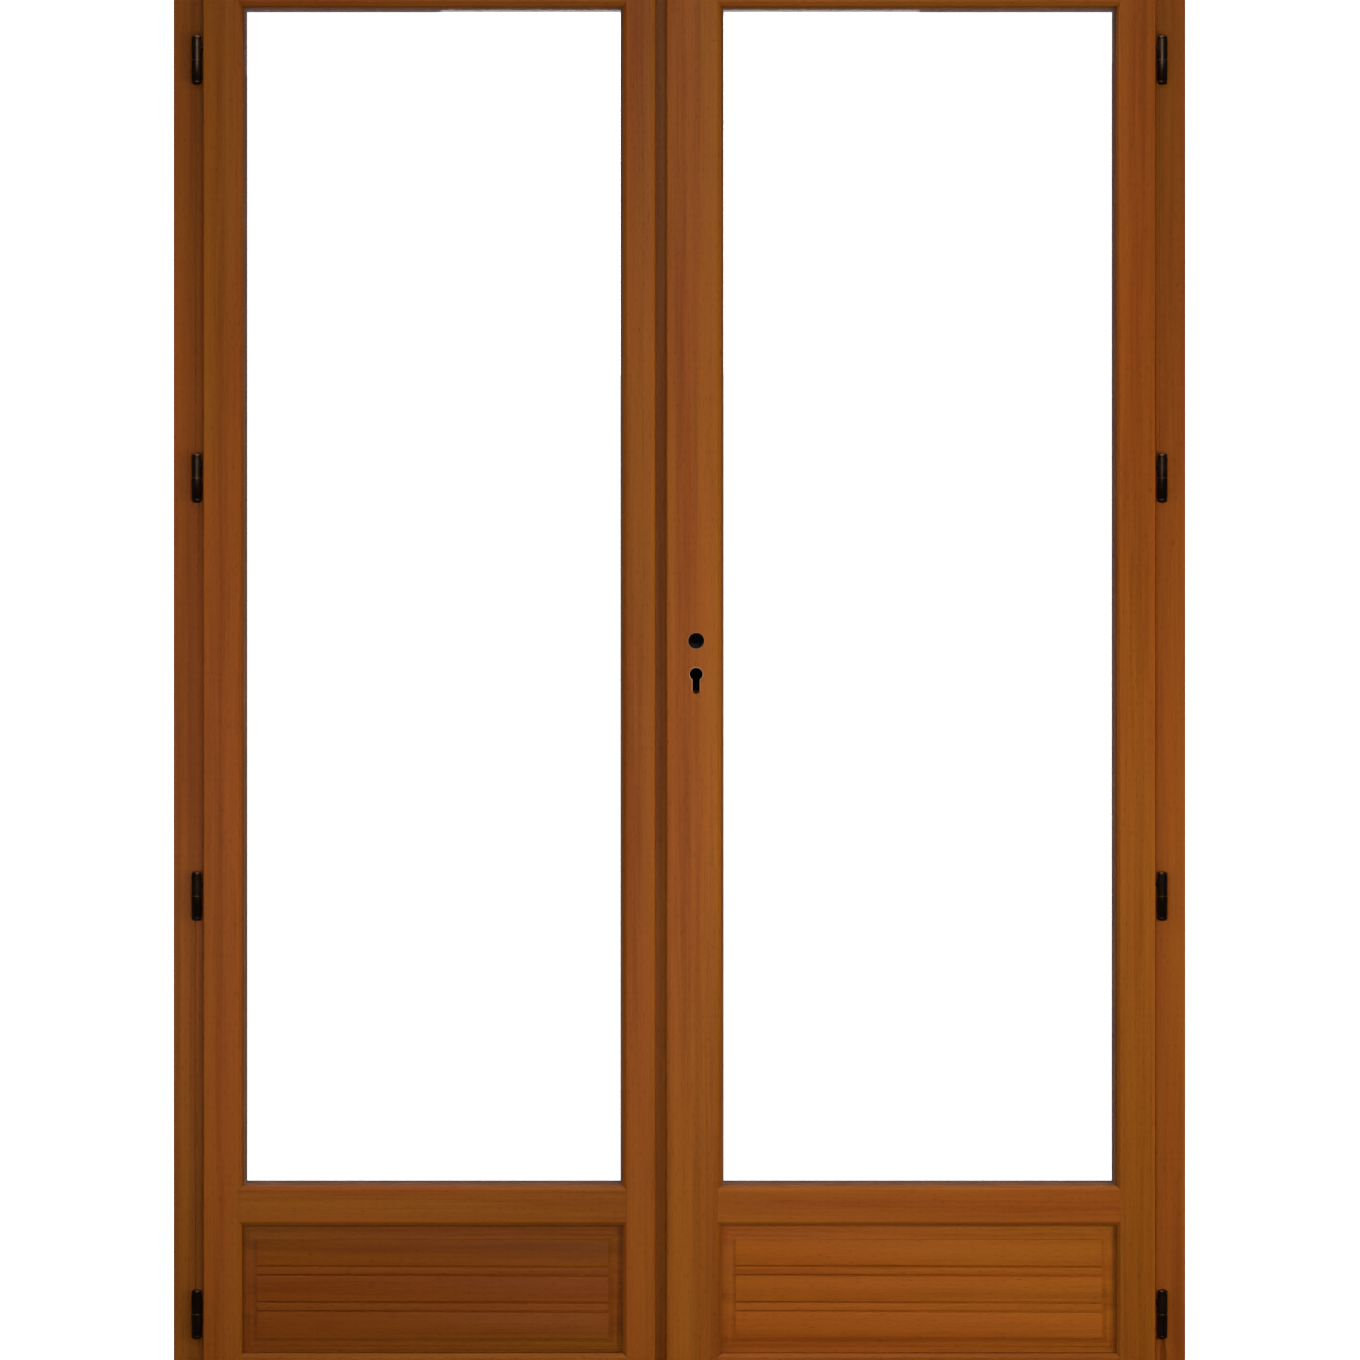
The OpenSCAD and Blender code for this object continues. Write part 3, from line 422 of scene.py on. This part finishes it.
def grid_faces(rows, columns, closed=False):
    """Quads between neighbours of a grid whose points are numbered row by row;
    closed joins the last column to the first."""
    i, j = np.meshgrid(np.arange(rows - 1), np.arange(columns - (not closed)), indexing="ij")
    k = (j + 1) % columns
    here, there = i * columns, (i + 1) * columns
    return np.stack([here + j, here + k, there + k, there + j], -1).reshape(-1, 4)


def smooth(piece, angle=32):
    """Smooth shading, with edges sharper than the angle left sharp."""
    mesh = piece.data
    mesh.polygons.foreach_set("use_smooth", np.ones(len(mesh.polygons), bool))
    mesh.set_sharp_from_angle(angle=math.radians(angle))


def finished(piece, angle, weld=False):
    """Finishes a worked-out surface: points that lie on each other are joined if weld is
    asked for, every face is turned outwards, and edges below the angle are shaded smooth."""
    work = bmesh.new()
    work.from_mesh(piece.data)
    if weld:
        bmesh.ops.remove_doubles(work, verts=work.verts, dist=WELD_GAP)
        bmesh.ops.dissolve_degenerate(work, edges=work.edges, dist=WELD_GAP)
    bmesh.ops.recalc_face_normals(work, faces=work.faces)
    work.to_mesh(piece.data)
    work.free()
    smooth(piece, angle)
    return piece


def dressed(node, material, edge=0.0, shortest=0.0):
    """A welded copy of a CAD node, flat faces joined, with its sharp edges eased by edge.
    Edges below shortest stay sharp: they lie where two features run close together."""
    source = frame["nodes"][node]
    mesh = source.data.copy()
    mesh.name = node + "_dressed"
    work = bmesh.new()
    work.from_mesh(mesh)
    bmesh.ops.remove_doubles(work, verts=work.verts, dist=JOIN_GAP)
    bmesh.ops.dissolve_degenerate(work, edges=work.edges, dist=THIN)
    bmesh.ops.dissolve_limit(work, angle_limit=FLAT_ANGLE, verts=work.verts, edges=work.edges)
    eased = work.edges.layers.float.new("bevel_weight_edge")
    for line in work.edges:
        bent = line.is_manifold and line.calc_face_angle() > SHARP_ANGLE
        line[eased] = float(bent and line.calc_length() >= shortest)
    work.to_mesh(mesh)
    work.free()
    mesh.materials.clear()
    mesh.materials.append(material)
    piece = bpy.data.objects.new(node + "_dressed", mesh)
    bpy.context.scene.collection.objects.link(piece)
    smooth(piece)
    if edge:
        ease = piece.modifiers.new("eased_edges", "BEVEL")
        ease.width = edge
        ease.segments = 2
        ease.limit_method = "WEIGHT"
        ease.use_clamp_overlap = False
        ease.harden_normals = True
    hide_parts(node)
    return piece


def body_of(node):
    """The body that a CAD node rides on."""
    bodies = frame["record"]["behaviour"]["bodies"]
    return next(body for body, nodes in bodies.items() if node in nodes)


def slot_of(node):
    """The material slot of a CAD node."""
    parts = frame["record"]["subparts"]
    return next(part["material_slot"] for part in parts if part["node"] == node)


def bead_rings(side):
    """Where a leaf's two rings of beads lie: x0, x1 and the lowest and highest z of each.
    They lap onto the middle rail as far as onto the top rail."""
    low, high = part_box(side + "_beads")
    rail_low, rail_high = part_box(side + "_mid_rail")
    lap = high.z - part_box(side + "_top_rail")[0].z
    return low.x, high.x, ((rail_high.z - lap, high.z), (low.z, rail_low.z + lap))


# ---- materials of the CAD nodes ----
# Each timber's grain, tone and seed. The tone is partly the timber's own and partly painted shade:
# the left leaf's timbers, its panel most, are set darker than the right leaf's for the shade on
# that leaf.
MEMBERS = {
    "left_jamb": ("Z", 0.86, 3),
    "right_jamb": ("Z", 0.92, 5),
    "head": ("X", 0.84, 7),
    "left_hinge_stile": ("Z", 0.93, 11),
    "left_meeting_stile": ("Z", 0.93, 13),
    "left_top_rail": ("X", 0.94, 17),
    "left_mid_rail": ("X", 0.95, 19),
    "left_bottom_rail": ("X", 0.92, 23),
    "left_panel": ("X", 0.72, 29),
    "left_beads": ("Z", 0.92, 31),
    "left_weatherboard": ("X", 0.88, 37),
    "right_hinge_stile": ("Z", 1.0, 41),
    "right_meeting_stile": ("Z", 1.02, 43),
    "right_top_rail": ("X", 0.98, 47),
    "right_mid_rail": ("X", 1.0, 53),
    "right_bottom_rail": ("X", 0.98, 59),
    "right_panel": ("X", 1.13, 61),
    "right_beads": ("Z", 0.98, 67),
    "right_weatherboard": ("X", 0.92, 71),
}
zinc = metal("zinc_plate", (196, 196, 190), (150, 150, 148), 0.34)
blackened = metal("blackened_steel", (34, 31, 29), (20, 18, 17), 0.45, metallic=0.6)
bronze = metal("bronzed_hinge", (96, 74, 58), (58, 44, 36), 0.36, across=900, along=30)
anodised = metal("anodised_sill", (168, 164, 156), (138, 134, 128), 0.42, grain="X")
spacer_bar = metal("anodised_spacer", (66, 44, 30), (52, 34, 24), 0.5, metallic=0.3)
rubber = soft("black_rubber", (40, 34, 31), (66, 58, 52), 0.6)
sealant = soft("brown_sealant", (112, 66, 36), (134, 84, 50), 0.55, lumps=260)
brass = metal("washer_brass", (170, 132, 78), (128, 98, 58), 0.3)
glass = glass_material()
SLOT_FINISH = {
    "threshold": anodised,
    "seal": rubber,
    "hinge": bronze,
    "glass": glass,
    "spacer": spacer_bar,
    "lock_steel": zinc,
    "lock_black": blackened,
}

for node, source in frame["nodes"].items():
    if node in MEMBERS:
        grain, tone_and_shade, seed = MEMBERS[node]
        side = node.split("_")[0]
        holes = node == "right_meeting_stile"
        finish = timber(
            node + "_timber",
            grain,
            tone_and_shade,
            seed,
            sheen=PANEL_SHEEN if node.endswith("_panel") else TIMBER_SHEEN,
            figure=FIGURE if holes else None,
            holes=holes,
            beads=bead_rings(side) if node.endswith("_beads") else None,
        )
        easing = next((EASING[kind] for kind in EASING if node.endswith(kind)), EASE)
        piece = dressed(node, finish, *easing)
    elif slot_of(node) == "glass":
        source.data.materials.clear()
        source.data.materials.append(glass)
        continue
    else:
        piece = dressed(node, SLOT_FINISH[slot_of(node)])
    slot_of(node)
    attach(piece, body_of(node))


def sealant_ring(name, x0, x1, z0, z1, glass_y, out):
    """A fillet of sealant round a pane. Its profile, a hollow curve from the timber down to
    the glass, is carried round the four mitred corners of the rectangle; d is the way in from
    the edge and e the height above the glass, towards the side that out points to."""
    turn = np.linspace(0, math.pi / 2, 7)
    d = np.concatenate([[0.0], SEAL_W * (1 - SEAL_HOLLOW * np.sin(turn)), [0.0]])
    e = np.concatenate([[0.0], SEAL_H * (1 - SEAL_HOLLOW * np.cos(turn)), [SEAL_H]])
    d[1], e[1] = SEAL_W, 0.0
    corners = np.array([[x0, z0, 1, 1], [x1, z0, -1, 1], [x1, z1, -1, -1], [x0, z1, 1, -1]])
    x = corners[:, 0, None] + corners[:, 2, None] * d
    z = corners[:, 1, None] + corners[:, 3, None] * d
    y = np.broadcast_to(glass_y + out * e, x.shape)
    points = np.stack([x, y, z], -1).reshape(-1, 3)
    n = len(d)
    i, j = np.meshgrid(np.arange(4), np.arange(n), indexing="ij")
    a, b = i * n + j, i * n + (j + 1) % n
    c, f = ((i + 1) % 4) * n + (j + 1) % n, ((i + 1) % 4) * n + j
    faces = np.stack([a, b, c, f], -1).reshape(-1, 4)
    return finished(as_mesh(name, points, faces, sealant), 40)


for side in ("left", "right"):
    stiles = [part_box(side + "_hinge_stile"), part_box(side + "_meeting_stile")]
    left_stile, right_stile = stiles if side == "left" else stiles[::-1]
    edges = (
        left_stile[1].x,
        right_stile[0].x,
        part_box(side + "_mid_rail")[1].z,
        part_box(side + "_top_rail")[0].z,
    )
    inner_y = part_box(side + "_inner_pane")[0].y
    outer_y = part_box(side + "_outer_pane")[1].y
    inner = sealant_ring(side + "_inner_sealant", *edges, inner_y, -1)
    outer = sealant_ring(side + "_outer_sealant", *edges, outer_y, 1)
    for ring in (inner, outer):
        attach(ring, side + "_leaf")


def hinge_washer(name, x, y, z):
    """The ring between a hinge's two barrels: a half-round edge of radius WASHER_T / 2 turned
    about the hinge's axis, closed by flat discs above and below."""
    turn = np.linspace(-math.pi / 2, math.pi / 2, 7)
    round_r = WASHER_T / 2
    r = np.concatenate([[0.0], WASHER_R - round_r + round_r * np.cos(turn), [0.0]])
    h = np.concatenate([[-round_r], round_r * np.sin(turn), [round_r]])
    angle = np.linspace(0, 2 * math.pi, 48, endpoint=False)
    ring_x = x + np.outer(r, np.cos(angle))
    ring_y = y + np.outer(r, np.sin(angle))
    ring_z = np.broadcast_to((z + h)[:, None], ring_x.shape)
    points = np.stack([ring_x, ring_y, ring_z], -1).reshape(-1, 3)
    faces = grid_faces(*ring_x.shape, closed=True)
    return finished(as_mesh(name, points, faces, brass), 40, weld=True)


def screw_head(name, place, out, along):
    """A slotted screw head in a plate. On a polar grid its height is a shallow dome,
    SCREW_RISE times 1 - (r / R) squared, cut down to SLOT_DEEP within SLOT_HALF of the slot's
    line; out is the way it faces and along the slot's way."""
    rings, turns = 15, 72
    r = np.linspace(0, SCREW_R, rings)[:, None]
    angle = np.linspace(0, 2 * math.pi, turns, endpoint=False)[None]
    u = r * np.cos(angle)
    v = r * np.sin(angle)
    height = SCREW_RISE * (1 - (r / SCREW_R) ** 2) + 0 * angle
    slot = np.clip((SLOT_HALF - np.abs(v)) / SLOT_SIDE, 0, 1)
    height = height * (1 - slot) + slot * (SCREW_RISE - SLOT_DEEP) * (r < SCREW_R * 0.99)
    out = np.array(out, float)
    along = np.array(along, float)
    side = np.cross(out, along)
    base = np.array(place, float)
    top = base + u[..., None] * along + v[..., None] * side + height[..., None] * out
    foot = base + u[-1:, :, None] * along + v[-1:, :, None] * side - SCREW_SUNK * out
    close = np.broadcast_to(base - SCREW_SUNK * out, (1, turns, 3))
    points = np.concatenate([top, foot, close]).reshape(-1, 3)
    faces = grid_faces(rings + 2, turns, closed=True)
    return finished(as_mesh(name, points, faces, zinc), 30, weld=True)


def screw_places():
    """Each screw's node, body, place, the way it faces and the way of its slot."""
    places = []
    for node, body, face in ("strike_plate", "left_leaf", 1), ("lock_faceplate", "right_leaf", -1):
        low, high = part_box(node)
        x = high.x if face > 0 else low.x
        heights = [low.z + LOCK_SCREW_IN, high.z - LOCK_SCREW_IN]
        if node == "lock_faceplate":
            bay = (high.z - low.z) / FACEPLATE_BAYS
            heights += [low.z + k * bay for k in range(1, FACEPLATE_BAYS)]
        places += [(node, body, (x, 0, z), (face, 0, 0), (0, 0, 1)) for z in heights]
    low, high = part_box("flush_bolt_plates")
    insets = (FLUSH_SCREW_FAR, FLUSH_PLATE_L - FLUSH_SCREW_NEAR)
    heights = [low.z + inset for inset in insets] + [high.z - inset for inset in insets]
    for z in heights:
        places.append(("flush_bolt_plates", "left_leaf", (high.x, 0, z), (1, 0, 0), (0, 0, 1)))
    for node, face in (("head_keep", -1), ("threshold_keep", 1)):
        low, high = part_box(node)
        z = low.z if face < 0 else high.z
        for x in (low.x + KEEP_SCREW_IN, high.x - KEEP_SCREW_IN):
            places.append((node, "frame", (x, 0, z), (0, 0, face), (1, 0, 0)))
    return places


swings = {joint["name"]: joint for joint in frame["record"]["behaviour"]["joints"]}
for side in ("left", "right"):
    x, y = swings[side + "_leaf_swing"]["pos_m"][:2]
    for i in range(1, HINGES + 1):
        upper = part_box(f"{side}_hinge_{i}_leaf_half")
        ring = hinge_washer(f"{side}_hinge_{i}_washer", x, y, upper[0].z)
        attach(ring, "frame")

for i, (node, body, place, face, along) in enumerate(screw_places()):
    head = screw_head(f"{node}_screw_{i + 1}", place, face, along)
    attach(head, body)

# ---- floor, light and camera ----
line = np.linspace(-FLOOR_HALF, FLOOR_HALF, FLOOR_STEPS)
floor_x, floor_y = np.meshgrid(line, line, indexing="ij")
floor_points = np.stack([floor_x, floor_y, np.zeros_like(floor_x)], -1).reshape(-1, 3)
paint, paint_shader, paint_point = start_material(
    "pale_floor", Roughness=0.85, Specular_IOR_Level=0.1, Emission_Strength=FLOOR_GLOW
)
mottle = paint_point.noise(3, 3, "Z", 6.0, 4.0)
feed(
    paint_shader,
    Base_Color=mottle.mix(*FLOOR_PAINT),
    Emission_Color=mottle.mix(*FLOOR_LIGHT),
)
floor = as_mesh("floor", floor_points, grid_faces(FLOOR_STEPS, FLOOR_STEPS), paint)
floor.visible_glossy = False
floor.visible_diffuse = False

scene = bpy.context.scene
scene.view_settings.view_transform = "Standard"

world = bpy.data.worlds.new("studio")
scene.world = world
world.use_nodes = True
sky = world.node_tree.nodes["Background"]
rays = world.node_tree.nodes.new("ShaderNodeLightPath").outputs
seen = Value(rays["Is Camera Ray"])
glossy = Value(rays["Is Glossy Ray"])
direction = seen.node("TexCoord", {}, output="Generated")
dome = SKY_LOW + direction.part(2).step(-0.2, 0.9) * (SKY_TOP - SKY_LOW)
unseen = dome * (1 - glossy) + glossy * SKY_GLOSS
strength = seen * SKY_WHITE + (1 - seen) * unseen
world.node_tree.links.new(strength.socket, sky.inputs["Strength"])
sky.inputs["Color"].default_value = (1, 1, 1, 1)


def panel_light(name, place, aim, width, height, power, spread, colour):
    """A soft rectangular lamp at a place, facing the point it aims at; spread is the angle of
    its beam in degrees."""
    lamp = bpy.data.lights.new(name, "AREA")
    lamp.shape = "RECTANGLE"
    lamp.size = width
    lamp.size_y = height
    lamp.energy = power
    lamp.spread = math.radians(spread)
    lamp.color = colour
    made = bpy.data.objects.new(name, lamp)
    made.location = place
    made.rotation_euler = (Vector(aim) - Vector(place)).to_track_quat("-Z", "Y").to_euler()
    scene.collection.objects.link(made)
    made.visible_camera = False
    return made


for lamp_row in LAMPS:
    made = panel_light(*lamp_row)
    made.visible_glossy = lamp_row[0] not in WITHOUT_GLOSS
    made.visible_diffuse = lamp_row[0] not in GLOSS_ONLY

camera = bpy.data.cameras.new("camera")
camera.sensor_width = SENSOR
camera.lens = SENSOR * CAMERA_DISTANCE / SEEN_WIDTH
eye = bpy.data.objects.new("camera", camera)
eye.location = (CAMERA_X, FACE_Y - CAMERA_DISTANCE, CAMERA_Z)
eye.rotation_euler = (math.pi / 2, 0, 0)
scene.collection.objects.link(eye)
scene.camera = eye
